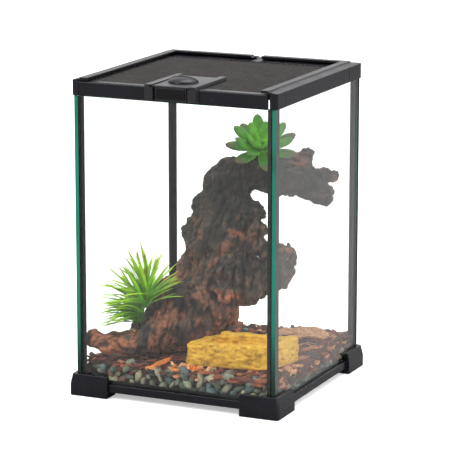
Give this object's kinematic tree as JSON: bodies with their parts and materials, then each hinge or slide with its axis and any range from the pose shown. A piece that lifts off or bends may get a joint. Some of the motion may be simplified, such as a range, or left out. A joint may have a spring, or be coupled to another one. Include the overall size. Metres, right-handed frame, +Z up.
{
  "type": "glass vivarium",
  "caption": "Tall square glass vivarium in a black frame with corner feet, a sliding mesh lid with a feeding hatch, and driftwood, plants, substrate and a dish inside.",
  "frame": {"origin": "on the floor, under the middle of the tank", "axes": "+Z up, -Y towards the front, where the lid slides out, +X to the right seen from the front"},
  "size_m": [0.212, 0.212, 0.3037],
  "materials": {
    "frame_plastic": "fine moulded satin",
    "lid_plastic": "fine moulded satin",
    "badge": "smooth, blank",
    "screen_wire": "black coated woven wire",
    "clear_glass": "clear float glass, green edges",
    "silicone": "smooth black sealant",
    "river_pebble": "water-worn, dry",
    "pine_bark": "rough chips",
    "driftwood": "weathered, knotted",
    "grass_plastic": "soft moulded blades",
    "succulent_plastic": "soft moulded leaves",
    "resin_rock": "cast resin, rock texture"
  },
  "bodies": {
    "tank": {"foot_front_left": "frame_plastic", "foot_front_right": "frame_plastic", "foot_back_left": "frame_plastic", "foot_back_right": "frame_plastic", "base_bar_front": "frame_plastic", "base_bar_back": "frame_plastic", "base_bar_left": "frame_plastic", "base_bar_right": "frame_plastic", "top_corner_front_left": "frame_plastic", "top_corner_front_right": "frame_plastic", "top_corner_back_left": "frame_plastic", "top_corner_back_right": "frame_plastic", "top_rail_left": "frame_plastic", "top_rail_right": "frame_plastic", "top_rail_back": "frame_plastic", "glass_front": "clear_glass", "glass_back": "clear_glass", "glass_left": "clear_glass", "glass_right": "clear_glass", "glass_base": "clear_glass", "seal_front_left": "silicone", "seal_front_right": "silicone", "seal_back_left": "silicone", "seal_back_right": "silicone", "seal_base_front": "silicone", "seal_base_back": "silicone", "seal_base_left": "silicone", "seal_base_right": "silicone", "gravel_bed": "river_pebble", "bark_chips": "pine_bark", "driftwood": "driftwood", "grass_plant": "grass_plastic", "succulent_plant": "succulent_plastic", "feeding_dish": "resin_rock"},
    "lid": {"lid_front_bar": "lid_plastic", "lid_side_bar_left": "lid_plastic", "lid_side_bar_right": "lid_plastic", "lid_back_bar": "lid_plastic", "mesh_screen": "screen_wire", "window_collar": "lid_plastic", "hatch_guide_left": "lid_plastic", "hatch_guide_right": "lid_plastic"},
    "hatch": {"feeding_hatch": "lid_plastic", "badge_plate": "badge", "hatch_finger_tab": "lid_plastic"}
  },
  "joints": [
    {"name": "lid_slide", "type": "slide", "parent": "tank", "child": "lid", "axis": [0, -1, 0], "range_m": [0, 0.2]},
    {"name": "hatch_slide", "type": "slide", "parent": "lid", "child": "hatch", "axis": [0, -1, 0], "range_m": [0, 0.042]}
  ]
}
